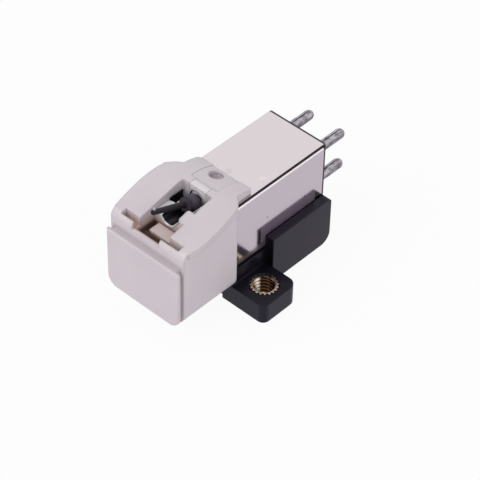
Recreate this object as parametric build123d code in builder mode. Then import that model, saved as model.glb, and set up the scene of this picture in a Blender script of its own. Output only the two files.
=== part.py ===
from build123d import *
from math import cos, radians, sin, tan
import os

# Moving magnet phono cartridge with a plug-on stylus holder, in millimetres.
# It lies on its mounting face: +Z is the record side, -Y the stylus end, +Y the pin end.
# The origin is midway between the two threaded inserts, on the mounting face.

# Mounting inserts, for the half inch headshell pattern
hole_spacing = 12.7
screw_bore = 2.05              # minor diameter of an M2.5 thread
bore_chamfer = 0.2
insert_dia = 3.1
knurl_teeth = 20
knurl_depth = 0.17
insert_fit = 0.02

# Base moulding
ear_wall = 0.82                # outside the insert
ear_height = 2.45
ear_rear = 2.5
ear_front_corner = 0.8
ear_rear_corner = 1.05
base_front = -2.62
base_over = 0.2                # how far the base reaches past the can's rear edge
pedestal_height = 4.3
ledge = 0.22                   # shoulder of the pedestal that shows beside the can
wall_thickness = 1.1
wall_height = 6.0
wall_front = 2.65
wall_foot_radius = 1.3
wall_crest_radius = 0.45
wall_fit = 0.05
underside_bevel = 0.5
bevel_half = 2.9

# Shield can, one folded sheet with a seam along its upper right edge
can_width = 7.9
can_height = 8.65
sheet = 0.3
can_front = -2.8
can_bend = 0.4
seam_gap = 0.18
fold_depth = 0.9
fold_bend = 0.27
can_notch_half = 1.8
can_notch_length = 3.2

# Coil frame inside the can, with the nose that the stylus holder plugs on
inner_fit = 0.05
frame_floor = 1.0
nose_front = -8.7
nose_half = 3.1
nose_low = 5.1
nose_bevel = 0.4
front_bulkhead = 0.5
bulkhead_thickness = 0.8
rear_bulkhead_top = 10.4

# Coils on their bobbins, and the pole pieces through them
coil_length = 7.4
bobbin_side_gap = 0.2          # to the wall of the tray
bobbin_mid_gap = 0.6           # between the two bobbins
bobbin_height = 4.2
bobbin_wall = 0.3
flange = 0.45
winding_inset = 0.15
pole_thickness = 0.4
pole_height = 1.6
pole_mid_z = 8.0
pole_fit = 0.05
tip_x = 1.1
tip_front = -1.4
tip_length = 1.1
yoke_length = 0.55
yoke_room = 0.23               # between the yoke and the terminal block

# Terminal block and pins
terminal_thickness = 1.4
terminal_flange = 0.18         # rim that covers the can's rear edge
terminal_chamfer = 0.06
pin_x = 2.17
pin_half_rise = 2.09           # the rows stand this far below and above their middle
pin_drop = 0.135               # their middle is this far below the can's
pin_reach = 4.96               # from the can's rear edge to the pin's tip
pin_radius = 0.58
pin_neck_radius = 0.48
pin_neck_length = 0.9
pin_tail = 0.45
pin_slit = 0.12
pin_bore_radius = 0.24
pin_fit = 0.01

# Stylus holder
holder_width = 10.18
holder_bottom = 3.04
holder_front = -10.6           # front wall behind the pad
holder_rear = -2.9
holder_fit = 0.05
lower_edge_radius = 1.4
tongue_half = 3.7
tongue_rear = 0.9
tongue_corner = 0.6
tongue_end = 0.25              # thickness of the tongue at its rear edge
neck_y = -1.5                  # where the plate's shoulders run in to the tongue
shoulder_half = 4.4
shoulder_y = -2.1
crown_y = -3.8
saddle_y = -7.3
brow_y = -10.0
brow_mid_y = -10.43
grip_half = 5.5                # the top plate bulges past the side faces
grip_front = -10.4
grip_y = -7.2
grip_rear = -3.05
grip_edge = 0.6
pad_thickness = 0.4
pad_inset = 0.06
pad_edge = 0.18
pad_corner = 0.35
pad_left_corner = 1.3
groove_width = 0.4
groove_depth = 0.5
pocket_half = 2.05
pocket_front = -10.1
pocket_rear = -3.35
pocket_corner = 0.3
undercut_half = 2.9            # the pocket widens below the plate, for the sleeve's carrier
undercut_front = -5.3
bed_front = -7.5
bed_rear = -5.35
lobe_half = 1.2
lobe_front = -7.5
lobe_rear = -5.95
lobe_corner = 0.3
slot_half = 4.0
slot_front = -10.2
slot_rear = -9.47
notch_left = -2.2
notch_right = 1.55
step_left = -1.1
step_front = -9.15
step_rear = -7.75
mark_radius = 0.8
mark_x = -0.3
mark_y = -0.35
relief_half = 1.85
relief_front = -2.4
relief_depth = 0.12
boss_half = 2.6
boss_length = 0.7
web_half = 1.7

# Heights that go with the can's top, above it or, where negative, below it
crown_rise = 0.98
saddle_rise = 0.2
brow_rise = -0.29
brow_mid_rise = -0.62
brow_foot_rise = -1.05
mark_rise = 0.17
plate_rise = -0.35             # underside of the top plate in the undercut
ball_rise = -0.35
sleeve_cut_rise = -0.45        # open edges of the sleeve
bed_rise = -0.55
tip_rise = -0.65
bulkhead_rise = -0.85
notch_rise = -1.2
slot_rise = -1.4
step_rise = -1.45
pad_rise = -2.35
pocket_rise = -2.55
boss_rise = -2.6
nose_rise = -3.05

# Suspension: sleeve, wedge and rubber ring
sleeve_tilt = 6.0
sleeve_radius = 1.16
sleeve_wall = 0.1
sleeve_fit = 0.03
sleeve_front = -7.6
sleeve_rear = -2.3
seat_over = 0.15               # run-out of tilted cuts past flat faces
tab_reach = 1.95               # flat tab on the sleeve's left edge
tab_front = -7.2
tab_corner = 0.5
tab_lap = 0.12                 # how far the tab reaches over the sleeve's wall
carrier_web = 1.3              # height of the carrier under the sleeve
carrier_fit = 0.03
washer_thickness = 0.35
washer_bore = 0.45
washer_fit = 0.08              # the washer tilts in the sleeve together with the ring
wedge_rear = -2.5
wedge_fit = 0.03
ring_front = -2.95
ring_rear = -2.35
ring_fit = 0.04
spigot_fit = 0.02

# Moving arm
ball_y = -4.3
ball_radius = 0.95
root_radius = 0.8              # collar in front of the ball
root_length = 0.95
arm_tilt = 22.6
arm_length = 6.0
arm_root_radius = 0.4
arm_end_radius = 0.28
arm_end_chamfer = 0.1
spigot_radius = 0.33
magnet_front = -1.9
magnet_length = 2.0
magnet_radius = 0.42
collar_length = 0.2
tip_from_end = 0.32
shank_radius = 0.14
shank_fit = 0.01
shank_height = 0.2             # above the arm
diamond_height = 0.26
diamond_flat = 0.02

# Values that follow from the ones above
insert_x = hole_spacing / 2
insert_radius = insert_dia / 2
ear_half_width = insert_x + insert_radius + ear_wall
can_half = can_width / 2
can_bottom = pedestal_height
can_top = can_bottom + can_height
can_inner_half = can_half - sheet
can_inner_top = can_top - sheet
fold_top = can_inner_top - seam_gap
crown_top = can_top + crown_rise
ball_z = can_top + ball_rise
sleeve_cut = can_top + sleeve_cut_rise
bed_top = can_top + bed_rise
notch_floor = can_top + notch_rise
slot_floor = can_top + slot_rise
pocket_floor = can_top + pocket_rise
pad_top = can_top + pad_rise
boss_bottom = can_top + boss_rise
nose_top = can_top + nose_rise
wall_inner = can_half + wall_fit
frame_half = can_inner_half - inner_fit
frame_bottom = can_bottom + sheet
coil_x = (frame_half - bobbin_side_gap + bobbin_mid_gap / 2) / 2
bobbin_width = frame_half - bobbin_side_gap - bobbin_mid_gap / 2
rear_bulkhead = front_bulkhead + bulkhead_thickness + coil_length
pole_rear = rear_bulkhead + bulkhead_thickness
pole_low = pole_mid_z - pole_height / 2
pole_high = pole_mid_z + pole_height / 2
terminal_front = pole_rear + yoke_length + yoke_room
terminal_rear = terminal_front + terminal_thickness
can_rear = terminal_rear - terminal_flange
base_rear = can_rear + base_over
can_mid = can_bottom + can_height / 2
pin_tip = can_rear + pin_reach
holder_half = holder_width / 2
tongue_under = can_top + holder_fit
pad_back = holder_front - groove_width
pad_front = pad_back - pad_thickness
tall = crown_top + 2           # a height above everything, where cuts end
sleeve_slope = tan(radians(sleeve_tilt))


def at_y(y):
    """Plane facing -Y through the given y, with local axes X and Z."""
    return Plane.XZ.offset(-y)


def axis_z(y):
    """Height of the sleeve's axis at y."""
    return ball_z + (ball_y - y) * sleeve_slope


def sleeve_plane(y):
    """Plane square to the sleeve's axis, facing the stylus end."""
    return Plane(
        origin=(0, y, axis_z(y)),
        x_dir=(1, 0, 0),
        z_dir=(0, -cos(radians(sleeve_tilt)), sin(radians(sleeve_tilt))),
    )


def along_sleeve(y0, y1):
    """Length along the sleeve's axis between two values of y."""
    return abs(y1 - y0) / cos(radians(sleeve_tilt))


def crown_line(drop):
    """Crown line of the holder's top, lowered by drop, from the tongue's end to the brow."""
    return Spline(
        (tongue_rear, tongue_under + tongue_end - drop),
        (crown_y, crown_top - drop),
        (saddle_y, can_top + saddle_rise - drop),
        (brow_y, can_top + brow_rise - drop),
    )


def save(part, name):
    part.label = name
    export_step(part, f"parts/{name}.step")


os.makedirs("parts", exist_ok=True)

# Mounting base: pedestal under the can, two ears, two upright walls
with BuildPart() as mounting_base:
    with BuildSketch():
        with Locations((0, (base_front + base_rear) / 2)):
            Rectangle(2 * (can_half + ledge), base_rear - base_front)
    extrude(amount=pedestal_height)
    fillet(mounting_base.faces().sort_by(Axis.Y)[-1].edges().sort_by(Axis.Z)[0], wall_foot_radius)
    with BuildSketch() as ear_plan:
        with Locations((0, (base_front + ear_rear) / 2)):
            Rectangle(2 * ear_half_width, ear_rear - base_front)
        fillet(ear_plan.vertices().group_by(Axis.Y)[0], ear_front_corner)
        fillet(ear_plan.vertices().group_by(Axis.Y)[-1], ear_rear_corner)
    extrude(amount=ear_height)
    with BuildSketch(Plane.YZ.offset(wall_inner)) as wall_side:
        with BuildLine():
            Polyline(
                (wall_front, 0),
                (base_rear, 0),
                (base_rear, wall_height),
                (wall_front, wall_height),
                close=True,
            )
        make_face()
        rear_corners = wall_side.vertices().group_by(Axis.X)[-1].sort_by(Axis.Y)
        fillet(rear_corners[0], wall_foot_radius)
        upper_corner = wall_side.vertices().group_by(Axis.Y)[-1].sort_by(Axis.X)[-1]
        fillet(upper_corner, wall_crest_radius)
    right_wall = extrude(amount=wall_thickness)
    mirror(right_wall, about=Plane.YZ)
    with BuildSketch(Plane.YZ.offset(-bevel_half)):
        Polygon(
            (base_front, 0), (base_front + underside_bevel, 0), (base_front, underside_bevel), align=None
        )
    extrude(amount=2 * bevel_half, mode=Mode.SUBTRACT)
    with Locations((insert_x, 0, 0), (-insert_x, 0, 0)):
        Cylinder(
            insert_radius + insert_fit,
            ear_height,
            align=(Align.CENTER, Align.CENTER, Align.MIN),
            mode=Mode.SUBTRACT,
        )
save(mounting_base.part, "mounting_base")

# Knurled brass inserts
for side, name in ((1, "insert_right"), (-1, "insert_left")):
    with BuildPart() as insert:
        with BuildSketch(Plane((side * insert_x, 0, 0))):
            Circle(insert_radius)
            with PolarLocations(insert_radius, knurl_teeth):
                RegularPolygon(knurl_depth, 4, mode=Mode.SUBTRACT)
            Circle(screw_bore / 2, mode=Mode.SUBTRACT)
        extrude(amount=ear_height)
        bore_edges = insert.edges().filter_by(GeomType.CIRCLE)
        bore_edges = [e for e in bore_edges if abs(e.radius - screw_bore / 2) < 1e-6]
        chamfer(bore_edges, bore_chamfer)
    save(insert.part, name)

# Shield can: sheet wrapped round four sides, its ends meeting in a folded seam
with BuildPart() as shield_can:
    with BuildSketch(at_y(can_rear)) as can_section:
        with Locations((0, can_mid)):
            Rectangle(can_width, can_height)
        seam_corner = can_section.vertices().sort_by(Axis.X)[-2:].sort_by(Axis.Y)[-1]
        fillet([v for v in can_section.vertices() if v != seam_corner], can_bend)
        with Locations((0, can_mid)):
            Rectangle(can_width - 2 * sheet, can_height - 2 * sheet, mode=Mode.SUBTRACT)
        with Locations((can_half, can_inner_top)):
            Rectangle(fold_depth, seam_gap, align=(Align.CENTER, Align.MAX), mode=Mode.SUBTRACT)
    extrude(amount=can_rear - can_front)
    with BuildSketch(at_y(can_rear)):
        with Locations((can_half, fold_top)):
            Rectangle(fold_depth, sheet, align=(Align.MAX, Align.MAX))
    extrude(amount=can_rear - can_front)
    fold_corner = shield_can.edges().filter_by(Axis.Y).filter_by(
        lambda e: abs(e.center().X - can_half) < 1e-6 and abs(e.center().Z - fold_top) < 1e-6
    )
    fillet(fold_corner, fold_bend)
    with BuildSketch(Plane.XY.offset(can_inner_top)):
        with Locations((0, can_front)):
            Rectangle(2 * can_notch_half, can_notch_length, align=(Align.CENTER, Align.MIN))
    extrude(amount=sheet, mode=Mode.SUBTRACT)
save(shield_can.part, "shield_can")


def pole_plan(side, grow):
    """Outline in plan of one pole piece, from its tip to the yoke, widened by grow."""
    half = pole_thickness / 2 + grow
    path = (
        (tip_x, tip_front - grow),
        (tip_x, tip_front + tip_length),
        (coil_x, front_bulkhead + bulkhead_thickness),
        (coil_x, pole_rear),
    )
    inner = [(side * (x - half), y) for x, y in path]
    outer = [(side * (x + half), y) for x, y in reversed(path)]
    return inner + outer


# Coil frame: tray in the can with two bulkheads, and the plug nose ahead of it
with BuildPart() as coil_frame:
    with BuildSketch(Plane.XY.offset(frame_bottom)):
        with Locations((0, (can_front + pole_rear) / 2)):
            Rectangle(2 * frame_half, pole_rear - can_front)
    extrude(amount=frame_floor)
    with BuildSketch(Plane.XY.offset(frame_bottom)):
        with Locations((0, can_front)):
            Rectangle(2 * frame_half, front_bulkhead - can_front, align=(Align.CENTER, Align.MIN))
    extrude(amount=nose_top - frame_bottom)
    with BuildSketch(at_y(front_bulkhead + bulkhead_thickness)):
        with Locations((0, frame_bottom)):
            Rectangle(
                2 * frame_half, can_top + bulkhead_rise - frame_bottom, align=(Align.CENTER, Align.MIN)
            )
    extrude(amount=bulkhead_thickness)
    with BuildSketch(at_y(pole_rear)):
        with Locations((0, frame_bottom)):
            Rectangle(2 * frame_half, rear_bulkhead_top - frame_bottom, align=(Align.CENTER, Align.MIN))
    extrude(amount=bulkhead_thickness)
    with BuildSketch(at_y(can_front)):
        with Locations((0, nose_low)):
            Rectangle(2 * nose_half, nose_top - nose_low, align=(Align.CENTER, Align.MIN))
    extrude(amount=can_front - nose_front)
    chamfer(coil_frame.faces().sort_by(Axis.Y)[0].edges(), nose_bevel)
    for side in (1, -1):
        with BuildSketch(Plane.XY.offset(pole_low - pole_fit)):
            Polygon(*pole_plan(side, pole_fit), align=None)
        extrude(amount=tall - pole_low, mode=Mode.SUBTRACT)
    # room for the seam's fold, which reaches into the can
    with BuildSketch(at_y(pole_rear)):
        with Locations((can_half - fold_depth - inner_fit, fold_top - sheet - inner_fit)):
            Rectangle(can_half, can_half, align=(Align.MIN, Align.MIN))
    extrude(amount=pole_rear - can_front, mode=Mode.SUBTRACT)
save(coil_frame.part, "coil_frame")

# Pole pieces: upright tips beside the magnet, strips through the coils
for side, name in ((1, "pole_right"), (-1, "pole_left")):
    with BuildPart() as pole:
        with BuildSketch(Plane.XY.offset(pole_low)):
            Polygon(*pole_plan(side, 0), align=None)
        extrude(amount=can_top + tip_rise - pole_low)
        with BuildSketch(Plane.XY.offset(pole_high)):
            with Locations((0, tip_front + tip_length)):
                Rectangle(can_width, can_rear, align=(Align.CENTER, Align.MIN))
        extrude(amount=tall, mode=Mode.SUBTRACT)
    save(pole.part, name)

with BuildPart() as pole_yoke:
    with BuildSketch(at_y(pole_rear + yoke_length)):
        with Locations((0, pole_mid_z)):
            Rectangle(2 * coil_x + pole_thickness, pole_height)
    extrude(amount=yoke_length)
save(pole_yoke.part, "pole_yoke")

# Bobbins between the bulkheads, with the windings between their flanges
bobbin_front = front_bulkhead + bulkhead_thickness
bore_width = pole_thickness + 2 * pole_fit
bore_height = pole_height + 2 * pole_fit
for side, name in ((1, "bobbin_right"), (-1, "bobbin_left")):
    with BuildPart() as bobbin:
        with BuildSketch(at_y(rear_bulkhead)):
            with Locations((side * coil_x, pole_mid_z)):
                Rectangle(bore_width + 2 * bobbin_wall, bore_height + 2 * bobbin_wall)
        extrude(amount=coil_length)
        for rear in (rear_bulkhead, bobbin_front + flange):
            with BuildSketch(at_y(rear)):
                with Locations((side * coil_x, pole_mid_z)):
                    Rectangle(bobbin_width, bobbin_height)
            extrude(amount=flange)
        with BuildSketch(at_y(rear_bulkhead)):
            with Locations((side * coil_x, pole_mid_z)):
                Rectangle(bore_width, bore_height)
        extrude(amount=coil_length, mode=Mode.SUBTRACT)
    save(bobbin.part, name)

for side, name in ((1, "coil_right"), (-1, "coil_left")):
    with BuildPart() as coil:
        with BuildSketch(at_y(rear_bulkhead - flange)):
            with Locations((side * coil_x, pole_mid_z)):
                RectangleRounded(
                    bobbin_width - 2 * winding_inset, bobbin_height - 2 * winding_inset, 2 * flange
                )
                Rectangle(
                    bore_width + 2 * bobbin_wall, bore_height + 2 * bobbin_wall, mode=Mode.SUBTRACT
                )
        extrude(amount=coil_length - 2 * flange)
    save(coil.part, name)

# Terminal block that closes the can's rear end, with a thin rim over the can's edge
pin_mid = can_mid - pin_drop
pin_places = [(x, pin_mid + rise) for rise in (-pin_half_rise, pin_half_rise) for x in (-pin_x, pin_x)]
with BuildPart() as terminal_block:
    with BuildSketch(at_y(can_rear)):
        with Locations((0, frame_bottom)):
            Rectangle(
                2 * frame_half, can_inner_top - frame_bottom - inner_fit, align=(Align.CENTER, Align.MIN)
            )
        with Locations((can_half - fold_depth - inner_fit, fold_top - sheet - inner_fit)):
            Rectangle(can_half, can_half, align=(Align.MIN, Align.MIN), mode=Mode.SUBTRACT)
    extrude(amount=can_rear - terminal_front)
    with BuildSketch(at_y(terminal_rear)) as rim_outline:
        with Locations((0, can_mid)):
            Rectangle(can_width, can_height)
        fillet(rim_outline.vertices(), can_bend)
    extrude(amount=terminal_flange)
    chamfer(terminal_block.faces().sort_by(Axis.Y)[-1].edges(), terminal_chamfer)
    with BuildSketch(at_y(terminal_rear)):
        with Locations(*pin_places):
            Circle(pin_neck_radius + pin_fit)
    extrude(amount=terminal_thickness, mode=Mode.SUBTRACT)
save(terminal_block.part, "terminal_block")

# Terminal pins: rolled tubes with a neck, a slit and a rounded end
pin_names = ("pin_left_lower", "pin_right_lower", "pin_left_upper", "pin_right_upper")
for (x, z), name in zip(pin_places, pin_names):
    pin_start = terminal_front - pin_tail
    pin_shoulder = terminal_rear + pin_neck_length
    with BuildPart() as pin:
        with BuildSketch(Plane.XY.offset(z)):
            with BuildLine():
                Polyline(
                    (x + pin_bore_radius, pin_start),
                    (x + pin_neck_radius, pin_start),
                    (x + pin_neck_radius, pin_shoulder),
                    (x + pin_radius, pin_shoulder + pin_radius),
                    (x + pin_radius, pin_tip - pin_radius),
                )
                TangentArc(
                    (x + pin_radius, pin_tip - pin_radius), (x + pin_bore_radius, pin_tip), tangent=(0, 1)
                )
                Line((x + pin_bore_radius, pin_tip), (x + pin_bore_radius, pin_start))
            make_face()
        revolve(axis=Axis((x, 0, z), (0, 1, 0)))
        with BuildSketch(Plane.XY.offset(z)):
            with Locations((x, pin_start)):
                Rectangle(pin_slit, pin_tip - pin_start, align=(Align.CENTER, Align.MIN))
        extrude(amount=2 * pin_radius, mode=Mode.SUBTRACT)
    save(pin.part, name)

# Stylus holder: moulded block under a crowned plate that bulges past its sides and runs
# out in a tongue over the can; a front pad behind a shadow groove; the pocket
with BuildPart() as stylus_holder:
    with BuildSketch(Plane.YZ.offset(-holder_half)):
        with BuildLine():
            Polyline(
                (holder_front, can_top + brow_foot_rise),
                (holder_front, holder_bottom),
                (holder_rear, holder_bottom),
                (holder_rear, tongue_under),
                (tongue_rear, tongue_under),
                (tongue_rear, tongue_under + tongue_end),
            )
            crown_line(0)
            ThreePointArc(
                (brow_y, can_top + brow_rise),
                (brow_mid_y, can_top + brow_mid_rise),
                (holder_front, can_top + brow_foot_rise),
            )
        make_face()
    extrude(amount=holder_width)
    lower_edges = stylus_holder.faces().sort_by(Axis.Z)[0].edges().filter_by(Axis.Y)
    fillet(lower_edges, lower_edge_radius)
    with BuildSketch(Plane.YZ.offset(-grip_half)):
        with BuildLine():
            upper = crown_line(0)
            lower = crown_line(grip_edge)
            Line(upper @ 0, lower @ 0)
            Line(upper @ 1, lower @ 1)
        make_face()
    extrude(amount=2 * grip_half)
    # outline in plan: straight body, bulged grips, shoulders that run in to the tongue
    with BuildSketch(Plane.XY.offset(holder_bottom)) as plan:
        right_side = (
            (holder_half, holder_front),
            (holder_half, holder_rear),
            (shoulder_half, shoulder_y),
            (tongue_half, neck_y),
            (tongue_half, tongue_rear),
        )
        left_side = [(-x, y) for x, y in reversed(right_side)]
        Polygon(*right_side, *left_side, align=None)
        fillet(plan.vertices().group_by(Axis.Y)[-1], tongue_corner)
        with BuildLine():
            right = ThreePointArc((holder_half, grip_front), (grip_half, grip_y), (holder_half, grip_rear))
            left = ThreePointArc((-holder_half, grip_rear), (-grip_half, grip_y), (-holder_half, grip_front))
            Line(right @ 1, left @ 0)
            Line(left @ 1, right @ 0)
        make_face()
    extrude(amount=tall, mode=Mode.INTERSECT)
    with BuildSketch(Plane.XY.offset(tongue_under)):
        with Locations((0, holder_rear)):
            Rectangle(2 * grip_half, holder_width, align=(Align.CENTER, Align.MIN))
    extrude(amount=-grip_edge, mode=Mode.SUBTRACT)
    # front pad on its inset neck
    for rear, front, inset in ((holder_front, pad_back, groove_depth), (pad_back, pad_front, pad_inset)):
        with BuildSketch(at_y(rear)) as pad_outline:
            with Locations((0, (holder_bottom + pad_top) / 2)):
                Rectangle(holder_width - 2 * inset, pad_top - holder_bottom)
            fillet(pad_outline.vertices().group_by(Axis.Y)[0], lower_edge_radius - pad_inset)
            upper = pad_outline.vertices().group_by(Axis.Y)[-1].sort_by(Axis.X)
            fillet(upper[-1], pad_corner)
            fillet(upper[0], pad_left_corner)
        extrude(amount=rear - front)
    fillet(stylus_holder.faces().sort_by(Axis.Y)[0].edges(), pad_edge)
    # boss and web that enter the can's front end
    with BuildSketch(at_y(holder_rear + boss_length)):
        with Locations((0, boss_bottom)):
            Rectangle(
                2 * boss_half, can_inner_top - holder_fit - boss_bottom, align=(Align.CENTER, Align.MIN)
            )
            Rectangle(2 * web_half, tongue_under - boss_bottom, align=(Align.CENTER, Align.MIN))
    extrude(amount=boss_length)
    # pocket for the arm, with a lobe on its right wall
    with BuildSketch(Plane.XY.offset(pocket_floor)) as pocket_plan:
        with Locations((0, (pocket_front + pocket_rear) / 2)):
            RectangleRounded(2 * pocket_half, pocket_rear - pocket_front, pocket_corner)
        with Locations((pocket_half, (lobe_front + lobe_rear) / 2)):
            RectangleRounded(
                2 * (pocket_half - lobe_half), lobe_rear - lobe_front, lobe_corner, mode=Mode.SUBTRACT
            )
    extrude(amount=tall - pocket_floor, mode=Mode.SUBTRACT)
    # undercut below the plate, and the bed under the sleeve's front part
    with BuildSketch(Plane.XY.offset(pocket_floor)):
        with Locations((0, pocket_rear)):
            Rectangle(2 * undercut_half, pocket_rear - undercut_front, align=(Align.CENTER, Align.MAX))
    extrude(amount=can_top + plate_rise - pocket_floor, mode=Mode.SUBTRACT)
    with BuildSketch(Plane.XY.offset(pocket_floor)):
        with Locations((0, bed_rear)):
            Rectangle(2 * pocket_half, bed_rear - bed_front, align=(Align.CENTER, Align.MAX))
    extrude(amount=bed_top - pocket_floor)
    with BuildSketch(Plane.XY.offset(slot_floor)):
        with Locations((0, (slot_front + slot_rear) / 2)):
            Rectangle(2 * slot_half, slot_rear - slot_front)
    extrude(amount=tall - slot_floor, mode=Mode.SUBTRACT)
    with BuildSketch(Plane.XY.offset(notch_floor)):
        with Locations((notch_left, slot_rear)):
            Rectangle(notch_right - notch_left, slot_rear - pad_back, align=(Align.MIN, Align.MAX))
    extrude(amount=tall - notch_floor, mode=Mode.SUBTRACT)
    # step in the pocket's right half
    with BuildSketch(Plane.XY.offset(pocket_floor)):
        with Locations((step_left, (step_front + step_rear) / 2)):
            Rectangle(pocket_half - step_left, step_rear - step_front, align=(Align.MIN, Align.CENTER))
    extrude(amount=can_top + step_rise - pocket_floor)
    # shallow relief in the tongue, following its crown, and the blind mark
    with BuildSketch(Plane.YZ.offset(-relief_half)):
        with BuildLine():
            floor_line = crown_line(relief_depth)
            Polyline(floor_line @ 1, (brow_y, tall), (tongue_rear, tall), floor_line @ 0)
        make_face()
        with Locations((relief_front, 0)):
            Rectangle(tall, 2 * tall, align=(Align.MIN, Align.CENTER), mode=Mode.INTERSECT)
    extrude(amount=2 * relief_half, mode=Mode.SUBTRACT)
    with Locations((mark_x, mark_y, can_top + mark_rise)):
        Cylinder(
            mark_radius, tall, align=(Align.CENTER, Align.CENTER, Align.MIN), mode=Mode.SUBTRACT
        )
    # cavity that takes the nose
    with BuildSketch(at_y(holder_rear)):
        with Locations((0, nose_low - holder_fit)):
            Rectangle(
                2 * (nose_half + holder_fit), nose_top - nose_low + 2 * holder_fit,
                align=(Align.CENTER, Align.MIN),
            )
    extrude(amount=holder_rear - nose_front + holder_fit, mode=Mode.SUBTRACT)
    # seat of the sleeve: round below, open upwards in the rear wall for the wedge
    seat_rear = holder_rear + boss_length + seat_over
    with BuildSketch(sleeve_plane(seat_rear)):
        Circle(sleeve_radius + sleeve_fit)
    extrude(amount=along_sleeve(seat_rear, sleeve_front - seat_over), mode=Mode.SUBTRACT)
    with BuildSketch(Plane.XY.offset(axis_z(wedge_rear))):
        with Locations((0, wedge_rear)):
            Rectangle(
                2 * (sleeve_radius + sleeve_fit), wedge_rear - lobe_rear, align=(Align.CENTER, Align.MAX)
            )
    extrude(amount=tall, mode=Mode.SUBTRACT)
save(stylus_holder.part, "stylus_holder")

# Wedge over the sleeve, with a saddle on its underside
wedge_half = sleeve_radius + sleeve_fit - wedge_fit
with BuildPart() as suspension_wedge:
    with BuildSketch(Plane.YZ.offset(-wedge_half)):
        with BuildLine():
            top_line = crown_line(0)
            Polyline(top_line @ 1, (brow_y, ball_z), (tongue_rear, ball_z), top_line @ 0)
        make_face()
        with Locations((wedge_rear - wedge_fit, 0)):
            Rectangle(
                wedge_rear - wedge_fit - pocket_rear,
                2 * tall,
                align=(Align.MAX, Align.CENTER),
                mode=Mode.INTERSECT,
            )
    extrude(amount=2 * wedge_half)
    with BuildSketch(sleeve_plane(sleeve_rear)):
        Circle(sleeve_radius + sleeve_fit)
    extrude(amount=along_sleeve(sleeve_front, sleeve_rear), mode=Mode.SUBTRACT)
save(suspension_wedge.part, "suspension_wedge")

# Sleeve: thin tube, cut open above along the pocket, with a flat tab on its left edge
with BuildPart() as suspension_sleeve:
    with BuildSketch(sleeve_plane(sleeve_rear)):
        Circle(sleeve_radius)
        Circle(sleeve_radius - sleeve_wall, mode=Mode.SUBTRACT)
    extrude(amount=along_sleeve(sleeve_front, sleeve_rear))
    with BuildSketch(Plane.XY.offset(sleeve_cut)):
        with Locations((0, pocket_rear - sleeve_wall)):
            Rectangle(3 * sleeve_radius, holder_width, align=(Align.CENTER, Align.MAX))
    extrude(amount=2 * sleeve_radius, mode=Mode.SUBTRACT)
    with BuildSketch(Plane.XY.offset(sleeve_cut - sleeve_wall)) as tab_plan:
        with Locations((-tab_reach, bed_rear)):
            Rectangle(
                tab_reach - sleeve_radius + tab_lap,
                bed_rear - tab_front,
                align=(Align.MIN, Align.MAX),
            )
        fillet(tab_plan.vertices().group_by(Axis.X)[0], tab_corner)
    extrude(amount=sleeve_wall)
save(suspension_sleeve.part, "suspension_sleeve")

# Black carrier in the undercut, under the sleeve
with BuildPart() as sleeve_carrier:
    with BuildSketch(at_y(pocket_rear)):
        with Locations((0, pocket_floor)):
            Rectangle(
                2 * (undercut_half - carrier_fit),
                can_top + plate_rise - carrier_fit - pocket_floor,
                align=(Align.CENTER, Align.MIN),
            )
        with Locations((0, pocket_floor + carrier_web)):
            Rectangle(2 * pocket_half, can_height, align=(Align.CENTER, Align.MIN), mode=Mode.SUBTRACT)
    extrude(amount=pocket_rear - undercut_front - carrier_fit)
    with BuildSketch(sleeve_plane(pocket_rear + seat_over)):
        Circle(sleeve_radius + sleeve_fit)
    extrude(amount=along_sleeve(pocket_rear + seat_over, undercut_front - seat_over), mode=Mode.SUBTRACT)
save(sleeve_carrier.part, "sleeve_carrier")

# Rubber ring in the sleeve, round the arm's spigot
with BuildPart() as damper_ring:
    with BuildSketch(sleeve_plane(ring_rear)):
        Circle(sleeve_radius - sleeve_wall - ring_fit)
        Circle(spigot_radius + spigot_fit, mode=Mode.SUBTRACT)
    extrude(amount=along_sleeve(ring_front, ring_rear))
save(damper_ring.part, "damper_ring")

# Washer on the ring's front face, behind the arm's ball
with BuildPart() as ring_washer:
    with BuildSketch(sleeve_plane(ring_front)):
        Circle(sleeve_radius - sleeve_wall - washer_fit)
        Circle(washer_bore, mode=Mode.SUBTRACT)
    extrude(amount=washer_thickness)
save(ring_washer.part, "ring_washer")

# Stylus arm: tapered rod from a ball root, with a spigot behind it for the magnet
arm_plane = Plane(
    origin=(0, ball_y, ball_z),
    x_dir=(1, 0, 0),
    z_dir=(0, -cos(radians(arm_tilt)), sin(radians(arm_tilt))),
)
tip_y = ball_y - (arm_length - tip_from_end) * cos(radians(arm_tilt))
tip_axis_z = ball_z + (arm_length - tip_from_end) * sin(radians(arm_tilt))
shank_top = tip_axis_z + arm_end_radius / cos(radians(arm_tilt)) + shank_height
with BuildPart() as cantilever:
    with Locations((0, ball_y, ball_z)):
        Sphere(ball_radius)
    with BuildSketch(arm_plane):
        Circle(root_radius)
    extrude(amount=root_length)
    with BuildSketch(arm_plane):
        Circle(arm_root_radius)
    with BuildSketch(arm_plane.offset(arm_length)):
        Circle(arm_end_radius)
    loft()
    chamfer(cantilever.faces().sort_by(Axis.Y)[0].edges(), arm_end_chamfer)
    with BuildSketch(sleeve_plane(magnet_front)):
        Circle(spigot_radius)
    extrude(amount=along_sleeve(ball_y, magnet_front))
    with BuildSketch(sleeve_plane(magnet_front)):
        Circle(magnet_radius)
    extrude(amount=collar_length)
    with Locations((0, tip_y, tip_axis_z)):
        Cylinder(shank_radius + shank_fit, 4 * arm_end_radius, mode=Mode.SUBTRACT)
save(cantilever.part, "cantilever")

with BuildPart() as magnet:
    with BuildSketch(sleeve_plane(magnet_front + magnet_length)):
        Circle(magnet_radius)
    extrude(amount=along_sleeve(magnet_front, magnet_front + magnet_length))
    chamfer(magnet.edges().filter_by(GeomType.CIRCLE).sort_by(Axis.Y)[-1], magnet_radius / 5)
save(magnet.part, "magnet")

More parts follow.
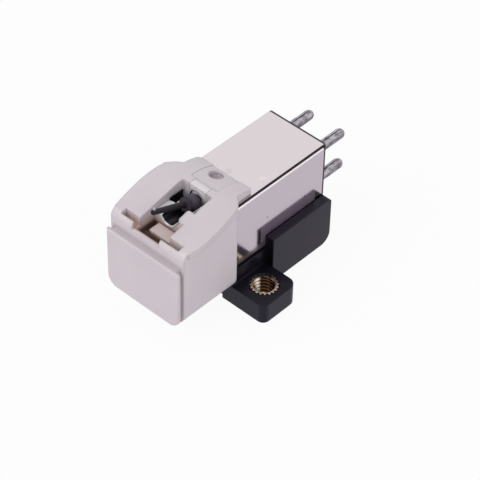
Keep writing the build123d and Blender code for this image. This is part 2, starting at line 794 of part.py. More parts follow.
# Shank in the arm's end, ground to the diamond's point
with BuildPart() as stylus_tip:
    with BuildSketch(Plane.YZ):
        with BuildLine():
            Polyline(
                (tip_y, tip_axis_z - arm_end_radius),
                (tip_y + shank_radius, tip_axis_z - arm_end_radius),
                (tip_y + shank_radius, shank_top),
                (tip_y + diamond_flat, shank_top + diamond_height),
                (tip_y, shank_top + diamond_height),
                close=True,
            )
        make_face()
    revolve(axis=Axis((0, tip_y, 0), (0, 0, 1)))
save(stylus_tip.part, "stylus_tip")
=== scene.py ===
import bpy
import math
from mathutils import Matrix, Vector


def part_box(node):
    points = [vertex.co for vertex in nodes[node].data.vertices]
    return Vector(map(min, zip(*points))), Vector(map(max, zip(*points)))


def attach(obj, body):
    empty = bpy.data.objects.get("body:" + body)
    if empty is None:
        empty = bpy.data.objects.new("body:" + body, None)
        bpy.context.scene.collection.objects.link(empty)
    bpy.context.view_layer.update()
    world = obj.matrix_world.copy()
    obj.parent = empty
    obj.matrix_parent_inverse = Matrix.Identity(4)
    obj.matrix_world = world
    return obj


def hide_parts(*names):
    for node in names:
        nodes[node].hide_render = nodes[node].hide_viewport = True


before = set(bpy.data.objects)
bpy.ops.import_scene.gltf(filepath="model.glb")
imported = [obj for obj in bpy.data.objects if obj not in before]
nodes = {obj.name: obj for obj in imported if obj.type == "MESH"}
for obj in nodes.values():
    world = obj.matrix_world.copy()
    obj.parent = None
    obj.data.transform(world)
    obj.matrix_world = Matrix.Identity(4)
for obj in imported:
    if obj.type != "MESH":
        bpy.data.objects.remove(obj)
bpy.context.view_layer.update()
mm = 0.001
print("stage: solids loaded")


# small helpers

def deselectAll():
    if bpy.context.object and bpy.context.object.mode != "OBJECT":
        bpy.ops.object.mode_set(mode="OBJECT")
    bpy.ops.object.select_all(action="DESELECT")


def toLinear(hexColour):
    # sRGB hex to the linear values that shaders want
    channels = [int(hexColour[i:i + 2], 16) / 255 for i in (1, 3, 5)]
    return [c / 12.92 if c <= 0.04045 else ((c + 0.055) / 1.055) ** 2.4 for c in channels] + [1.0]


def addNode(tree, kind, inputs=(), out=0, **settings):
    # one node with its settings; an input takes a socket, a value or a hex colour; returns its output
    # a Mix node blends colours from its inputs 6 and 7 into its output 2
    node = tree.nodes.new("ShaderNode" + kind)
    for name, value in settings.items():
        setattr(node, name, value)
    for name, value in dict(inputs).items():
        if isinstance(value, bpy.types.NodeSocket):
            tree.links.new(value, node.inputs[name])
        elif isinstance(value, str):
            node.inputs[name].default_value = toLinear(value)
        else:
            node.inputs[name].default_value = value
    return node.outputs[out]


def newMaterial(name, baseHex, roughness, metallic=0.0, **sockets):
    # a principled material; returns it with its tree, shader and object coordinates
    material = bpy.data.materials.new(name)
    material.use_nodes = True
    tree = material.node_tree
    shader = tree.nodes["Principled BSDF"]
    shader.inputs["Base Color"].default_value = toLinear(baseHex)
    shader.inputs["Roughness"].default_value = roughness
    shader.inputs["Metallic"].default_value = metallic
    for socket, value in sockets.items():
        shader.inputs[socket.replace("_", " ")].default_value = value
    place = addNode(tree, "TexCoord", out="Object")
    return material, tree, shader, place


noiseSpan = {"From Min": 0.3, "From Max": 0.7}   # noise seldom leaves this span


def noiseAt(tree, place, sizeMm, detail=3.0, roughness=0.6):
    # noise whose lumps are about sizeMm across; one size for all directions, or three
    sizes = sizeMm if isinstance(sizeMm, tuple) else (sizeMm,) * 3
    scaled = addNode(tree, "Mapping", {"Vector": place, "Scale": [1 / (s * mm) for s in sizes]})
    return addNode(tree, "TexNoise", {
        "Vector": scaled, "Scale": 1.0, "Detail": detail, "Roughness": roughness})


def relief(tree, shader, height, depthMm, edgeMm=0.0):
    # surface relief of the given depth, over edges that are softened to edgeMm
    inputs = {"Height": height, "Distance": depthMm * mm, "Strength": 0.5}
    if edgeMm:
        inputs["Normal"] = addNode(tree, "Bevel", {"Radius": edgeMm * mm}, samples=6)
    tree.links.new(addNode(tree, "Bump", inputs), shader.inputs["Normal"])


def insidePatch(tree, place, patch):
    # 1, or the patch's own share, between its two corners in mm, fading to 0 over its soft border
    middle = [(a + b) / 2 * mm for a, b in zip(patch["low"], patch["high"])]
    half = [(b - a) / 2 * mm for a, b in zip(patch["low"], patch["high"])]
    offset = addNode(tree, "VectorMath", {0: place, 1: middle}, operation="SUBTRACT")
    away = addNode(tree, "VectorMath", {0: offset}, operation="ABSOLUTE")
    past = addNode(tree, "VectorMath", {0: away, 1: half}, operation="SUBTRACT")
    x, y, z = [addNode(tree, "SeparateXYZ", {0: past}, axis) for axis in range(3)]
    most = addNode(tree, "Math", {0: x, 1: y}, operation="MAXIMUM")
    most = addNode(tree, "Math", {0: most, 1: z}, operation="MAXIMUM")
    return addNode(tree, "MapRange", {
        "Value": most, "From Max": patch["soft"] * mm, "To Min": patch.get("share", 1.0), "To Max": 0.0})


def dress(material, *names):
    for name in names:
        piece = nodes[name]
        piece.data.materials.clear()
        piece.data.materials.append(material)


# camera, floor and light

camera = {
    "location": (110.564 * mm, -119.114 * mm, 158.587 * mm),
    "turn": (46.532, -0.980, 43.059),  # degrees, from a match of the photograph's corners
    "lens": 161.55,                    # mm
    "sensor": 36,                      # mm
    "clip": (0.01, 5),
}
bpy.ops.object.camera_add(location=camera["location"], rotation=[math.radians(t) for t in camera["turn"]])
view = bpy.context.object
view.data.lens = camera["lens"]
view.data.sensor_width = camera["sensor"]
view.data.clip_start, view.data.clip_end = camera["clip"]
bpy.context.scene.camera = view

stage = {
    "floorSize": 3.0,
    "floorHex": "#f3f1f4",
    "white": 0.93,                       # how much of the floor's shade is plain white to the camera
    "mirrored": (0.70, 0.68, 0.735, 1),  # the same floor as metal and gloss show it: lavender grey
    "skyLight": 0.60,                    # what the surroundings shed on the object
    "aim": (0, 0, 0.006),
    "keyPlace": (-0.16, -0.34, 0.42),
    "keySize": 0.36,
    "keyWatts": 1.0,
    "sidePlace": (0.42, -0.05, 0.20),
    "sideSize": 0.30,
    "sideWatts": 0.25,
}
bpy.ops.mesh.primitive_plane_add(size=stage["floorSize"], location=(0, 0, 0))
floor = bpy.context.object
floor.name = "floor"
rays = ("Camera", "Glossy", "Transmission")
paperMaterial = bpy.data.materials.new("white paper")  # no gloss, keeps a faint shadow
paperMaterial.use_nodes = True
tree = paperMaterial.node_tree
tree.nodes.remove(tree.nodes["Principled BSDF"])
seen, glossy, through = [addNode(tree, "LightPath", out=f"Is {ray} Ray") for ray in rays]
gloss = addNode(tree, "Math", {0: glossy, 1: through}, operation="MAXIMUM")
seen = addNode(tree, "Math", {0: seen, 1: gloss}, operation="MAXIMUM")
share = addNode(tree, "Math", {0: seen, 1: stage["white"]}, operation="MULTIPLY")
tint = addNode(tree, "Mix", {0: gloss, 6: (1, 1, 1, 1), 7: stage["mirrored"]}, 2, data_type="RGBA")
paper = addNode(tree, "BsdfDiffuse", {"Color": stage["floorHex"]})
glow = addNode(tree, "Emission", {"Color": tint, "Strength": 1.0})
mix = addNode(tree, "MixShader", {0: share, 1: paper, 2: glow})
tree.links.new(mix, tree.nodes["Material Output"].inputs["Surface"])
floor.data.materials.append(paperMaterial)

world = bpy.data.worlds.new("studio")
bpy.context.scene.world = world
world.use_nodes = True
tree = world.node_tree
seen, glossy, through = [addNode(tree, "LightPath", out=f"Is {ray} Ray") for ray in rays]
seen = addNode(tree, "Math", {0: seen, 1: glossy}, operation="MAXIMUM")
seen = addNode(tree, "Math", {0: seen, 1: through}, operation="MAXIMUM")
level = addNode(tree, "Mix", {0: seen, 2: stage["skyLight"], 3: 1.0})
tree.links.new(level, tree.nodes["Background"].inputs["Strength"])
tree.nodes["Background"].inputs["Color"].default_value = (1, 1, 1, 1)

for name in ("key", "side"):
    bpy.ops.object.light_add(type="AREA", location=stage[name + "Place"])
    lamp = bpy.context.object
    lamp.name = name + "Lamp"
    lamp.data.size = stage[name + "Size"]
    lamp.data.energy = stage[name + "Watts"]
    aim = Vector(stage["aim"]) - Vector(stage[name + "Place"])
    lamp.rotation_euler = aim.to_track_quat("-Z", "Y").to_euler()
bpy.context.scene.view_settings.view_transform = "Standard"
print("stage: camera and light set")


# materials

holderPlastic = {
    "light": "#dad1d6",
    "dark": "#d5ccd2",
    "roughness": 0.42,
    "sunk": 0.12,              # share of the light that sinks in
    "sunkMm": 0.6,
    "sunkSpread": (1.0, 0.55, 0.4),   # red goes deepest
    "cloudMm": 6.0,            # slow change of tone, from the melt's flow
    "grainMm": 0.12,           # spark-eroded mould grain
    "grainDepthMm": 0.004,
    "edgeMm": 0.28,            # worn-soft mould edges
    "paintedLightPatches": (               # boxes in mm of painted light and shade, laid over one another
        # the cross slots: painted warm shade, with the glow of light through their thin ribs
        {"low": (-4.1, -10.1, 11.4), "high": (4.1, -9.55, 12.0),
         "soft": 0.3, "share": 0.75, "hex": "#c4a596"},
        # the whole well below the plate: painted warm shade, with the glow of light through its walls
        {"low": (-2.2, -10.0, 10.3), "high": (2.2, -5.4, 12.0),
         "soft": 0.45, "share": 0.6, "hex": "#d3b8ae"},
        # the pocket's depth ahead of the sleeve, where little light comes back out
        {"low": (-2.2, -9.4, 10.3), "high": (2.2, -7.0, 11.0),
         "soft": 0.45, "share": 0.95, "hex": "#6a504a"},
        # painted shade in the groove behind the front pad
        {"low": (-4.6, -11.0, 9.0), "high": (4.6, -10.6, 10.9),
         "soft": 0.35, "share": 0.5, "hex": "#b3a6ab"},
        # painted light on the wedge and the holder's edge round it, lifting the shade along their steps
        {"low": (-1.25, -3.4, 12.9), "high": (1.25, -2.45, 14.0),
         "soft": 0.08, "share": 0.4, "hex": "#fbf7f9"},
        # painted light on the left edge of the tongue's relief, lifting the shade of its step
        {"low": (-1.95, -2.45, 12.9), "high": (-1.75, 0.9, 14.0),
         "soft": 0.08, "share": 0.4, "hex": "#fbf7f9"},
    ),
    # the floor of the blind mark, speckled
    "mark": {"low": (-1.2, -1.3, 13.0), "high": (0.6, 0.6, 13.15), "soft": 0.02, "hex": "#8d848c"},
    "speckleMm": 0.3,
    "speckleLeast": 0.35,
}


def paleAbsMoulded():
    # ABS, injection moulded in an eroded mould: soft even sheen, light sinks in a little
    settings = holderPlastic
    material, tree, shader, place = newMaterial(
        "pale ABS moulded", settings["light"], settings["roughness"], IOR=1.53,
        Subsurface_Weight=settings["sunk"], Subsurface_Scale=settings["sunkMm"] * mm,
        Subsurface_Radius=settings["sunkSpread"])
    grain = noiseAt(tree, place, settings["grainMm"])
    relief(tree, shader, grain, settings["grainDepthMm"], settings["edgeMm"])
    cloud = noiseAt(tree, place, settings["cloudMm"], detail=2.0)
    cloud = addNode(tree, "MapRange", {"Value": cloud, **noiseSpan})
    colour = addNode(tree, "Mix", {0: cloud, 6: settings["light"], 7: settings["dark"]}, 2, data_type="RGBA")
    # the painted light and shade go over the tone, one box after another
    for patch in settings["paintedLightPatches"]:
        inside = insidePatch(tree, place, patch)
        colour = addNode(tree, "Mix", {0: inside, 6: colour, 7: patch["hex"]}, 2, data_type="RGBA")
    inside = insidePatch(tree, place, settings["mark"])
    speckle = noiseAt(tree, place, settings["speckleMm"])
    speckle = addNode(tree, "MapRange", {"Value": speckle, **noiseSpan, "To Min": settings["speckleLeast"]})
    speckled = addNode(tree, "Math", {0: inside, 1: speckle}, operation="MULTIPLY")
    colour = addNode(tree, "Mix", {0: speckled, 6: colour, 7: settings["mark"]["hex"]}, 2, data_type="RGBA")
    tree.links.new(colour, shader.inputs["Base Color"])
    return material


canMetal = {
    "hex": "#dbd2d6",
    "roughness": 0.13,
    "roughnessSpan": (0.11, 0.17),
    "rollingMm": (0.05, 9.0, 0.05),     # rolling lines run along the sheet
    "rollingDepthMm": 0.0006,
    "edgeMm": 0.05,
    # painted shade of the seam's gap, on the top sheet's cut edge and a strip of the top beside it
    "seam": {"low": (3.88, -3.0, 12.60), "high": (4.0, 12.0, 13.0), "soft": 0.02, "hex": "#2b2425"},
    # painted highlight on the bend under the seam
    "fold": {"low": (3.6, -3.0, 12.27), "high": (4.0, 12.0, 12.5), "soft": 0.05, "hex": "#f3ecef"},
    # painted shade along the rear edge, widening its dark line
    "rear": {"low": (-4.2, 11.42, 4.0), "high": (4.2, 11.6, 13.2), "soft": 0.06, "hex": "#554d50"},
    # painted dark reflection of the base's wall, on the can's side above it
    "wallReflection": {"low": (3.8, 2.0, 4.2), "high": (4.1, 10.2, 7.4), "soft": 0.15, "hex": "#b7a3b8"},
    "wallReflectionMetal": 0.7,                 # how metallic the painted reflection leaves it
    # painted dark reflection and shade on the stretch above the ear, broken up by noise
    "earShade": {"low": (3.8, -3.0, 4.2), "high": (4.1, 2.4, 4.9), "soft": 0.6, "hex": "#6a5c61"},
    "mottleMm": 0.35,
    "mottleLeast": 0.6,
    "dulling": 0.3,                     # roughness that the seam's painted shade and the ear's painted shade add
    "smears": (                         # mm across and along, two faint marks on the top
        {"middle": (-0.35, 1.5), "hex": "#b5a89c"},
        {"middle": (2.9, 3.1), "hex": "#f2edee"},
    ),
    "smearCoreMm": 0.2,                 # full up to here, and gone at smearMm
    "smearMm": 0.5,
    "smearShare": 0.9,
    "smearSpan": (0.45, 0.65),          # the noise in it that shows
    "smearGrainMm": (0.3, 0.1, 0.3),
    "specks": ((2.88, 8.42), (8.62, 7.58), (3.57, 6.26)),   # mm along and up the right side
    "speckMm": 0.1,
    "speckShare": 0.8,
    "speckHex": "#4a4040",
}


def nickelPlatedSheet():
    # rolled nickel silver sheet, bright plated: near mirror with faint long rolling lines
    settings = canMetal
    material, tree, shader, place = newMaterial(
        "nickel plated sheet", settings["hex"], settings["roughness"], metallic=1.0)
    rolling = noiseAt(tree, place, settings["rollingMm"])
    relief(tree, shader, rolling, settings["rollingDepthMm"], settings["edgeMm"])
    canRight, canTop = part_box("shield_can")[1][0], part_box("shield_can")[1][2]
    colour = settings["hex"]
    inside = {}
    # painted shade, highlight and reflection, box by box
    for part in ("seam", "fold", "rear", "wallReflection"):
        patch = settings[part]
        inside[part] = insidePatch(tree, place, patch)
        colour = addNode(tree, "Mix", {0: inside[part], 6: colour, 7: patch["hex"]}, 2, data_type="RGBA")
    metal = addNode(tree, "MapRange", {
        "Value": inside["wallReflection"], "To Min": 1.0, "To Max": settings["wallReflectionMetal"]})
    tree.links.new(metal, shader.inputs["Metallic"])
    for smear in settings["smears"]:
        x, y = smear["middle"]
        middle = (x * mm, y * mm, canTop)
        away = addNode(tree, "VectorMath", {0: place, 1: middle}, "Value", operation="DISTANCE")
        near = addNode(tree, "MapRange", {
            "Value": away, "From Min": settings["smearCoreMm"] * mm, "From Max": settings["smearMm"] * mm,
            "To Min": 1.0, "To Max": 0.0})
        faint, full = settings["smearSpan"]
        patchy = noiseAt(tree, place, settings["smearGrainMm"])
        patchy = addNode(tree, "MapRange", {
            "Value": patchy, "From Min": faint, "From Max": full, "To Max": settings["smearShare"]})
        wiped = addNode(tree, "Math", {0: near, 1: patchy}, operation="MULTIPLY")
        colour = addNode(tree, "Mix", {0: wiped, 6: colour, 7: smear["hex"]}, 2, data_type="RGBA")
    # the painted shade above the ear, broken up by noise
    mottle = noiseAt(tree, place, settings["mottleMm"], detail=4.0)
    mottle = addNode(tree, "MapRange", {"Value": mottle, **noiseSpan, "To Min": settings["mottleLeast"]})
    earShade = insidePatch(tree, place, settings["earShade"])
    earShade = addNode(tree, "Math", {0: earShade, 1: mottle}, operation="MULTIPLY")
    colour = addNode(tree, "Mix", {0: earShade, 6: colour, 7: settings["earShade"]["hex"]}, 2, data_type="RGBA")
    for along, up in settings["specks"]:
        middle = (canRight, along * mm, up * mm)
        away = addNode(tree, "VectorMath", {0: place, 1: middle}, "Value", operation="DISTANCE")
        speck = addNode(tree, "Math", {0: away, 1: settings["speckMm"] * mm}, operation="LESS_THAN")
        speck = addNode(tree, "Math", {0: speck, 1: settings["speckShare"]}, operation="MULTIPLY")
        colour = addNode(tree, "Mix", {0: speck, 6: colour, 7: settings["speckHex"]}, 2, data_type="RGBA")
    tree.links.new(colour, shader.inputs["Base Color"])
    smooth, rough = settings["roughnessSpan"]
    gloss = addNode(tree, "MapRange", {"Value": rolling, "To Min": smooth, "To Max": rough})
    dull = addNode(tree, "Math", {0: inside["seam"], 1: earShade}, operation="MAXIMUM")
    dull = addNode(tree, "Math", {0: dull, 1: settings["dulling"]}, operation="MULTIPLY")
    tree.links.new(addNode(tree, "Math", {0: gloss, 1: dull}, operation="ADD"), shader.inputs["Roughness"])
    return material


basePlastic = {
    "hex": "#100f17",
    "roughness": 0.34,
    "roughnessSpan": (0.29, 0.42),
    "shine": 0.38,             # specular level, a little under the usual 0.5
    "sheenFront": (0.66, 0.58, 0.84, 1.0),   # its reflections lean to violet, and painted shade dims them towards the front, at the ears
    "sheenRear": (0.90, 0.86, 1.0, 1.0),
    "sheenFrom": 2.0,          # mm along the base, where the one starts to turn into the other
    "sheenTo": 12.0,
    "grainMm": 0.10,
    "grainDepthMm": 0.003,
    "edgeMm": 0.18,
    "dustMm": 0.22,            # lint and dust, drawn a little coarser than real to show
    "dustSpan": (0.70, 0.76),  # only the noise's peaks carry it
    "dustShare": 0.6,
    "dustHex": "#6a656a",
    # mm, the wall's inner edge beside the can, always in shadow
    "crease": {"low": (3.9, 2.6, 5.9), "high": (4.1, 11.8, 6.1), "soft": 0.03},
}


def blackAbsMoulded():
    # ABS, injection moulded, black: dark with a soft satin reflection and a little dust
    settings = basePlastic
    material, tree, shader, place = newMaterial(
        "black ABS moulded", settings["hex"], settings["roughness"], IOR=1.5)
    along = addNode(tree, "SeparateXYZ", {0: place}, "Y")
    rearward = addNode(tree, "MapRange", {
        "Value": along, "From Min": settings["sheenFrom"] * mm, "From Max": settings["sheenTo"] * mm})
    sheen = addNode(tree, "Mix", {
        0: rearward, 6: settings["sheenFront"], 7: settings["sheenRear"]}, 2, data_type="RGBA")
    tree.links.new(sheen, shader.inputs["Specular Tint"])
    crease = insidePatch(tree, place, settings["crease"])
    shine = addNode(tree, "MapRange", {"Value": crease, "To Min": settings["shine"], "To Max": 0.0})
    tree.links.new(shine, shader.inputs["Specular IOR Level"])
    grain = noiseAt(tree, place, settings["grainMm"], detail=4.0, roughness=0.65)
    relief(tree, shader, grain, settings["grainDepthMm"], settings["edgeMm"])
    smooth, rough = settings["roughnessSpan"]
    gloss = addNode(tree, "MapRange", {"Value": grain, "To Min": smooth, "To Max": rough})
    tree.links.new(gloss, shader.inputs["Roughness"])
    bare, dusty = settings["dustSpan"]
    dust = noiseAt(tree, place, settings["dustMm"], detail=2.0)
    dust = addNode(tree, "MapRange", {
        "Value": dust, "From Min": bare, "From Max": dusty, "To Max": settings["dustShare"]})
    colour = addNode(tree, "Mix", {0: dust, 6: settings["hex"], 7: settings["dustHex"]}, 2, data_type="RGBA")
    tree.links.new(colour, shader.inputs["Base Color"])
    return material


pinMetal = {
    "light": "#b9b5bc",
    "dark": "#7d767c",
    "roughness": 0.30,
    "roughnessSpan": (0.22, 0.5),
    "blotchMm": (0.35, 0.8, 0.35),   # the tin lies in patches along the pin
    "blotchSpan": (0.42, 0.62),      # from clean tin to dull
    "blotchDepthMm": 0.05,
    "edgeMm": 0.05,
}


def tinnedBrassRolled():
    # brass strip rolled to a tube and tinned: grey, blotched, with soft patches of gloss
    settings = pinMetal
    material, tree, shader, place = newMaterial(
        "tinned brass rolled", settings["light"], settings["roughness"], metallic=1.0)
    blotch = noiseAt(tree, place, settings["blotchMm"])
    clean, dull = settings["blotchSpan"]
    tone = addNode(tree, "MapRange", {"Value": blotch, "From Min": clean, "From Max": dull})
    colour = addNode(tree, "Mix", {0: tone, 6: settings["light"], 7: settings["dark"]}, 2, data_type="RGBA")
    tree.links.new(colour, shader.inputs["Base Color"])
    smooth, rough = settings["roughnessSpan"]
    gloss = addNode(tree, "MapRange", {"Value": blotch, **noiseSpan, "To Min": smooth, "To Max": rough})
    tree.links.new(gloss, shader.inputs["Roughness"])
    relief(tree, shader, blotch, settings["blotchDepthMm"], settings["edgeMm"])
    return material


sleeveMetal = {
    "hex": "#f6f3f4",
    "boreShadeHex": "#37333a",
    "roughness": 0.32,
    "bright": 0.45,                # how metallic its outside is; the bore is fully so
    "axisPlace": (0, -4.3, 12.6),  # mm, a point on the tube's axis
    "axisTilt": -6.0,              # degrees
    "boreRadius": 1.065,           # mm, from here inwards it is painted dark, as shade
    "mouth": -3.16,                # mm along the axis, ahead of here the bore keeps the bright colour, without painted shade
    "drawingMm": 0.05,
    "drawingDepthMm": 0.001,
}


def nickelSleeveDrawn():
    # drawn tube, bright plated: white edge and tab, with its bore painted dark as shade
    settings = sleeveMetal
    material, tree, shader, place = newMaterial(
        "nickel sleeve drawn", settings["hex"], settings["roughness"], metallic=1.0)
    onAxis = addNode(tree, "Mapping", {
        "Vector": place, "Location": [c * mm for c in settings["axisPlace"]],
        "Rotation": (math.radians(settings["axisTilt"]), 0, 0)}, vector_type="TEXTURE")
    across = addNode(tree, "VectorMath", {0: onAxis, 1: (1, 0, 1)}, operation="MULTIPLY")
    reach = addNode(tree, "VectorMath", {0: across}, "Value", operation="LENGTH")
    inside = addNode(tree, "Math", {0: reach, 1: settings["boreRadius"] * mm}, operation="LESS_THAN")
    along = addNode(tree, "SeparateXYZ", {0: onAxis}, "Y")
    deep = addNode(tree, "Math", {0: along, 1: settings["mouth"] * mm}, operation="GREATER_THAN")
    shadedBore = addNode(tree, "Math", {0: inside, 1: deep}, operation="MULTIPLY")
    colour = addNode(tree, "Mix", {0: shadedBore, 6: settings["hex"], 7: settings["boreShadeHex"]}, 2, data_type="RGBA")
    tree.links.new(colour, shader.inputs["Base Color"])
    metal = addNode(tree, "MapRange", {"Value": shadedBore, "To Min": settings["bright"], "To Max": 1.0})
    tree.links.new(metal, shader.inputs["Metallic"])
    relief(tree, shader, noiseAt(tree, place, settings["drawingMm"]), settings["drawingDepthMm"])
    return material


armPlastic = {
    "rodHex": "#1e191d",
    "ballLitHex": "#4e4852",
    "roughness": 0.4,
    "shine": 0.25,                 # specular level, half of the usual 0.5
    "sheen": (0.76, 0.72, 1.0, 1.0),
    "ballPlace": (0, -4.3, 12.6),  # mm
    "ballReach": 0.95,             # mm, the painted light on the ball ends beyond this
    "fade": 0.5,                   # mm
    "grainMm": 0.08,
    "grainDepthMm": 0.002,
}


def blackAcetalMoulded():
    # acetal, moulded black: waxy, with painted light that makes the ball paler
    settings = armPlastic
    material, tree, shader, place = newMaterial(
        "black acetal moulded", settings["rodHex"], settings["roughness"], IOR=1.48,
        Specular_IOR_Level=settings["shine"], Specular_Tint=settings["sheen"])
    middle = [c * mm for c in settings["ballPlace"]]
    away = addNode(tree, "VectorMath", {0: place, 1: middle}, "Value", operation="DISTANCE")
    ballLight = addNode(tree, "MapRange", {
        "Value": away, "From Min": settings["ballReach"] * mm,
        "From Max": (settings["ballReach"] + settings["fade"]) * mm, "To Min": 1.0, "To Max": 0.0})
    colour = addNode(tree, "Mix", {
        0: ballLight, 6: settings["rodHex"], 7: settings["ballLitHex"]}, 2, data_type="RGBA")
    tree.links.new(colour, shader.inputs["Base Color"])
    relief(tree, shader, noiseAt(tree, place, settings["grainMm"]), settings["grainDepthMm"])
    return material


smallFinishes = (
    # butyl rubber, moulded: dull black
    {"name": "butyl rubber moulded", "hex": "#121212", "roughness": 0.7, "metallic": 0.0,
     "grainMm": 0.05, "grainDepthMm": 0.004, "pieces": ("damper_ring",)},
    # soft iron, stamped and annealed: dull grey
    {"name": "soft iron stamped", "hex": "#8c8c8e", "roughness": 0.35, "metallic": 1.0,
     "grainMm": 0.05, "grainDepthMm": 0.002, "pieces": ("pole_left", "pole_right", "pole_yoke")},
    # nylon, moulded: cream and matt
    {"name": "nylon former", "hex": "#d9d2bd", "roughness": 0.45, "metallic": 0.0,
     "grainMm": 0.1, "grainDepthMm": 0.003, "pieces": ("bobbin_left", "bobbin_right")},
    # copper wire in enamel: fine bright orange lines
    {"name": "enamelled copper wire", "hex": "#b5643a", "roughness": 0.3, "metallic": 1.0,
     "grainMm": 0.06, "grainDepthMm": 0.01, "pieces": ("coil_left", "coil_right")},
    # sintered magnet, ground: grey with a fine sheen
    {"name": "samarium cobalt ground", "hex": "#77777c", "roughness": 0.4, "metallic": 1.0,
     "grainMm": 0.04, "grainDepthMm": 0.002, "pieces": ("magnet",)},
    # titanium shank with its diamond: small bright point
    {"name": "titanium shank and diamond", "hex": "#b9b9bd", "roughness": 0.25, "metallic": 1.0,
     "grainMm": 0.03, "grainDepthMm": 0.001, "pieces": ("stylus_tip",)},
)


def fineFinish(settings):
    # shared recipe for small parts: fine grain in height and gloss
    swing = 0.06    # how far the grain moves the roughness
    middle = settings["roughness"]
    material, tree, shader, place = newMaterial(
        settings["name"], settings["hex"], middle, settings["metallic"])
    grain = noiseAt(tree, place, settings["grainMm"])
    relief(tree, shader, grain, settings["grainDepthMm"])
    gloss = addNode(tree, "MapRange", {
        "Value": grain, **noiseSpan, "To Min": middle - swing, "To Max": middle + swing})
    tree.links.new(gloss, shader.inputs["Roughness"])
    return material


dress(paleAbsMoulded(), "stylus_holder", "suspension_wedge", "ring_washer")
dress(nickelPlatedSheet(), "shield_can")
dress(blackAbsMoulded(), "mounting_base", "coil_frame", "terminal_block")
dress(tinnedBrassRolled(), "pin_left_lower", "pin_right_lower", "pin_left_upper", "pin_right_upper")
dress(nickelSleeveDrawn(), "suspension_sleeve")
dress(blackAcetalMoulded(), "cantilever", "sleeve_carrier")
for finish in smallFinishes:
    dress(fineFinish(finish), *finish["pieces"])
print("stage: materials on the solids")


# threaded inserts: a screw thread wound inside a knurled ring

insertShape = {
    "teeth": 20,
    "toothDepth": 0.2,         # mm
    "topEdge": 0.03,           # mm, chamfer of the ring's top edge
    "crest": 1.08,             # mm, radius to the crest of an M2.5 nut thread, a little worn
    "root": 1.31,              # mm, radius to its root
    "pitch": 0.45,             # mm
    # the thread's profile, an open chain of five points, each with its place in pitches
    "profile": (("root", -0.44), ("root", -0.36), ("crest", 0.02), ("crest", 0.18), ("root", 0.56)),
    "steps": 48,               # faces round one turn
    "spareTurns": 2,           # wound past both ends, then cut off
    "tolerance": 1e-6,         # m, within which points are one
    "cutTolerance": 1e-7,      # m
    "smoothAngle": 35,         # degrees
}


def pickVertices(piece, wanted):
    # selects the vertices, and no others, that the test wants; leaves the piece in edit mode
    bpy.ops.object.mode_set(mode="EDIT")
    bpy.ops.mesh.select_mode(type="VERT")
    bpy.ops.mesh.select_all(action="DESELECT")
    bpy.ops.object.mode_set(mode="OBJECT")
    for vertex in piece.data.vertices:
        vertex.select = wanted(vertex.co)
    bpy.ops.object.mode_set(mode="EDIT")


def pickLevel(piece, height):
    pickVertices(piece, lambda place: abs(place.z - height) < insertShape["tolerance"])


def woundThread(height):
    # a screw thread on the z axis, cut off flat at 0 and at the height
    shape = insertShape
    pitch = shape["pitch"] * mm
    deselectAll()
    bpy.ops.mesh.primitive_circle_add(vertices=len(shape["profile"]) + 1, radius=pitch, location=(0, 0, 0))
    thread = bpy.context.object
    spare = thread.data.vertices[len(shape["profile"])].co.copy()
    pickVertices(thread, lambda place: (place - spare).length < shape["tolerance"])
    bpy.ops.mesh.delete(type="VERT")
    bpy.ops.object.mode_set(mode="OBJECT")
    for vertex, (level, along) in zip(thread.data.vertices, shape["profile"]):
        vertex.co = (shape[level] * mm, 0, (along - 1) * pitch)
    wind = thread.modifiers.new("wind", "SCREW")
    wind.steps = wind.render_steps = shape["steps"]
    wind.screw_offset = pitch
    wind.iterations = math.ceil(height / pitch) + shape["spareTurns"]
    bpy.ops.object.modifier_apply(modifier="wind")
    bpy.ops.object.mode_set(mode="EDIT")
    bpy.ops.mesh.select_all(action="SELECT")
    bpy.ops.mesh.remove_doubles(threshold=shape["tolerance"])
    for level, up in ((0, -1), (height, 1)):
        bpy.ops.mesh.select_all(action="SELECT")
        bpy.ops.mesh.bisect(plane_co=(0, 0, level), plane_no=(0, 0, up), clear_outer=True,
                            threshold=shape["cutTolerance"])
    return thread


def knurledRing(radius, height):
    # a tube with a chamfered top edge; every third line of its side is pushed in
    shape = insertShape
    lines = 3 * shape["teeth"]
    edge = shape["topEdge"] * mm
    deselectAll()
    bpy.ops.mesh.primitive_cylinder_add(vertices=lines, radius=radius, depth=height - edge,
                                        end_fill_type="NOTHING", location=(0, 0, (height - edge) / 2))
    ring = bpy.context.object
    bpy.ops.object.transform_apply(location=True, rotation=True, scale=True)
    turn = math.tau / lines
    pickVertices(ring, lambda place: round(math.atan2(place.y, place.x) / turn) % 3 == 0)
    inward = 1 - shape["toothDepth"] * mm / radius
    bpy.ops.transform.resize(value=(inward, inward, 1), center_override=(0, 0, 0))
    pickLevel(ring, height - edge)
    shrink = 1 - edge / radius
    bpy.ops.mesh.extrude_region_move(TRANSFORM_OT_translate={"value": (0, 0, edge)})
    bpy.ops.transform.resize(value=(shrink, shrink, 1), center_override=(0, 0, height))
    return ring


def threadedInsert(node):
    low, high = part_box(node)
    height = high[2] - low[2]
    thread = woundThread(height)
    ring = knurledRing((high[0] - low[0]) / 2, height)
    # both are joined, and their open ends closed by flat rings of faces
    deselectAll()
    ring.select_set(True)
    thread.select_set(True)
    bpy.context.view_layer.objects.active = ring
    bpy.ops.object.join()
    for level in (0, height):
        pickLevel(ring, level)
        bpy.ops.mesh.fill(use_beauty=True)
    bpy.ops.mesh.select_all(action="SELECT")
    bpy.ops.mesh.normals_make_consistent(inside=False)
    bpy.ops.object.mode_set(mode="OBJECT")
    ring.location = ((low[0] + high[0]) / 2, (low[1] + high[1]) / 2, low[2])
    bpy.ops.object.transform_apply(location=True, rotation=True, scale=True)
    bpy.ops.object.shade_smooth_by_angle(angle=math.radians(insertShape["smoothAngle"]))
    ring.name = "threaded_" + node
    return ring


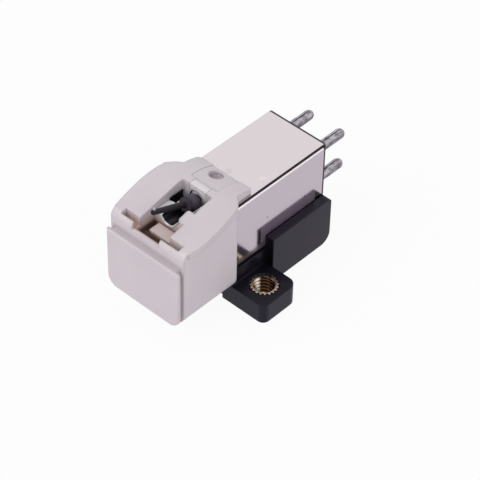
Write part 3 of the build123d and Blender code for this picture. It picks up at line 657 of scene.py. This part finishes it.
brassTone = {
    "rim": "#c9bda6",              # painted highlight on the teeth
    "light": "#eadccb",            # painted highlight, a streak down the thread
    "gold": "#8f7142",
    "dark": "#2c1c13",             # painted shade and dark reflection in the thread, on the far side
    "crest": "#5a4028",            # its crests, painted a little lighter within that shade
    "roughness": 0.2,
    "roughnessSpan": (0.14, 0.3),
    "turningMm": (0.5, 0.5, 0.04),   # turning lines, one above the other
    "turningDepthMm": 0.003,
    "rimMm": 0.07,                 # the rim lies this near the top, or nearer
    "rimSoftMm": 0.03,
    "highlightStreak": (-1.05, -0.75, -0.6, -0.3),   # mm across the bore, where gold, painted streak and painted shade meet
    "crestReach": 1.09,            # mm from the axis
    "crestSoft": 0.05,             # mm
}


def brassTurned():
    # brass, turned and tapped: painted highlight on the teeth, a painted bright streak, then painted dark
    # brown shade
    settings = brassTone
    material, tree, shader, place = newMaterial("brass turned", settings["gold"], settings["roughness"], 1.0)
    low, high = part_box("insert_right")    # the left one mirrors it
    lines = noiseAt(tree, place, settings["turningMm"], detail=2.0)
    relief(tree, shader, lines, settings["turningDepthMm"])
    smooth, rough = settings["roughnessSpan"]
    gloss = addNode(tree, "MapRange", {"Value": lines, **noiseSpan, "To Min": smooth, "To Max": rough})
    tree.links.new(gloss, shader.inputs["Roughness"])
    x, y, z = [addNode(tree, "SeparateXYZ", {0: place}, axis) for axis in range(3)]
    apart = addNode(tree, "Math", {0: x}, operation="ABSOLUTE")
    fromAxis = addNode(tree, "Math", {0: apart, 1: (low[0] + high[0]) / 2}, operation="SUBTRACT")
    # the painted shade has two tones: lighter on the crests, darker between them
    plan = addNode(tree, "CombineXYZ", {0: fromAxis, 1: y})
    reach = addNode(tree, "VectorMath", {0: plan}, "Value", operation="LENGTH")
    crest = addNode(tree, "MapRange", {
        "Value": reach, "From Min": settings["crestReach"] * mm,
        "From Max": (settings["crestReach"] + settings["crestSoft"]) * mm, "To Min": 1.0, "To Max": 0.0})
    shadedThread = addNode(tree, "Mix", {0: crest, 6: settings["dark"], 7: settings["crest"]}, 2, data_type="RGBA")
    # gold, painted streak and painted shade follow one another diagonally across the bore
    across = addNode(tree, "Math", {0: fromAxis, 1: y}, operation="ADD")
    start, clean, soiled, oiled = [edge * math.sqrt(2) * mm for edge in settings["highlightStreak"]]
    bright = addNode(tree, "MapRange", {"Value": across, "From Min": start, "From Max": clean})
    colour = addNode(tree, "Mix", {
        0: bright, 6: settings["gold"], 7: settings["light"]}, 2, data_type="RGBA")
    shaded = addNode(tree, "MapRange", {"Value": across, "From Min": soiled, "From Max": oiled})
    colour = addNode(tree, "Mix", {0: shaded, 6: colour, 7: shadedThread}, 2, data_type="RGBA")
    # painted highlight along the top of the ring and its teeth
    rimLow = high[2] - settings["rimMm"] * mm
    rim = addNode(tree, "MapRange", {
        "Value": z, "From Min": rimLow - settings["rimSoftMm"] * mm, "From Max": rimLow})
    colour = addNode(tree, "Mix", {0: rim, 6: colour, 7: settings["rim"]}, 2, data_type="RGBA")
    tree.links.new(colour, shader.inputs["Base Color"])
    return material


brass = brassTurned()
for node in ("insert_left", "insert_right"):
    piece = threadedInsert(node)
    piece.data.materials.append(brass)
    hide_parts(node)
    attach(piece, "body")
print("stage: inserts threaded")

bpy.context.view_layer.update()
